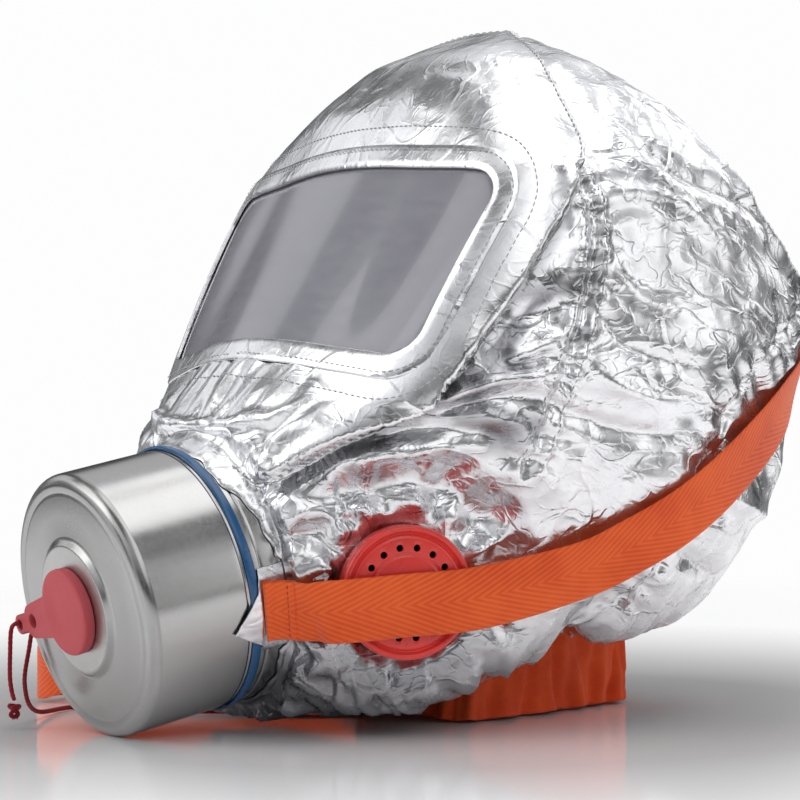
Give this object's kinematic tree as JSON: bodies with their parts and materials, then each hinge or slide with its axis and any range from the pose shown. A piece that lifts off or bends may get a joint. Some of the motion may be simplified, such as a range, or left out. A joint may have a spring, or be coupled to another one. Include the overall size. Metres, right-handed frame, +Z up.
{
  "type": "smoke hood",
  "caption": "Aluminised escape hood with a clear window, a steel filter canister with a tethered plug, side breathing valves, a webbing strap and a cloth neck collar.",
  "frame": {"origin": "centre of the box round the hood without its tether cord, at the height of the table it stands on", "axes": "+Z up; the filter canister faces -Y; +X is the wearer's left"},
  "size_m": [0.2733, 0.3573, 0.2955],
  "materials": {
    "canister_steel": "polished sheet steel, satin on the side",
    "blue_tape": "smooth blue sealing band",
    "spring_steel": "plain",
    "filter_paper": "matt",
    "drying_grains": "granular",
    "catalyst_grains": "granular",
    "red_rubber": "matt",
    "grey_silicone": "satin",
    "black_plastic": "moulded",
    "red_plastic": "moulded, semi-gloss",
    "aluminised_cloth": "crinkled aluminised laminate",
    "clear_film": "slightly grey clear film",
    "orange_collar_cloth": "woven",
    "orange_webbing": "twill webbing",
    "tether_red": "braided"
  },
  "bodies": {
    "hood": {"canister_front_shell": "canister_steel", "canister_rear_shell": "canister_steel", "blue_seal_ring": "blue_tape", "inlet_screen": "spring_steel", "outlet_screen": "spring_steel", "bed_spring": "spring_steel", "hood_clamp_ring": "spring_steel", "particulate_filter": "filter_paper", "drying_bed_front": "drying_grains", "drying_bed_rear": "drying_grains", "catalyst_bed": "catalyst_grains", "mask_gasket": "grey_silicone", "half_mask": "grey_silicone", "mask_nut": "black_plastic", "valve_body_left": "black_plastic", "valve_body_right": "black_plastic", "valve_nut_left": "black_plastic", "valve_nut_right": "black_plastic", "strap_buckle": "black_plastic", "valve_cover_left": "red_plastic", "valve_cover_right": "red_plastic", "hood_shell": "aluminised_cloth", "window_surround": "aluminised_cloth", "strap_anchor_left": "aluminised_cloth", "strap_anchor_right": "aluminised_cloth", "window_film": "clear_film", "neck_collar": "orange_collar_cloth", "strap_left": "orange_webbing", "strap_right": "orange_webbing", "tether_cord": "tether_red"},
    "inlet_plug": {"inlet_plug": "red_rubber", "tether_tail": "tether_red", "tether_knot": "tether_red"},
    "outlet_plug": {"outlet_plug": "red_rubber"},
    "flap_left": {"valve_flap_left": "grey_silicone"},
    "flap_right": {"valve_flap_right": "grey_silicone"}
  },
  "joints": [
    {"name": "inlet_plug_pull", "type": "slide", "parent": "hood", "child": "inlet_plug", "axis": [0, -0.977, -0.213], "range_m": [0, 0.014]},
    {"name": "outlet_plug_pull", "type": "slide", "parent": "hood", "child": "outlet_plug", "axis": [0, 0.977, 0.213], "range_m": [0, 0.006]},
    {"name": "flap_left_lift", "type": "slide", "parent": "hood", "child": "flap_left", "axis": [0.9503, -0.3088, -0.04], "range_m": [0, 0.001], "stiffness_N_per_m": 40},
    {"name": "flap_right_lift", "type": "slide", "parent": "hood", "child": "flap_right", "axis": [-0.9503, -0.3088, -0.04], "range_m": [0, 0.001], "stiffness_N_per_m": 40}
  ]
}
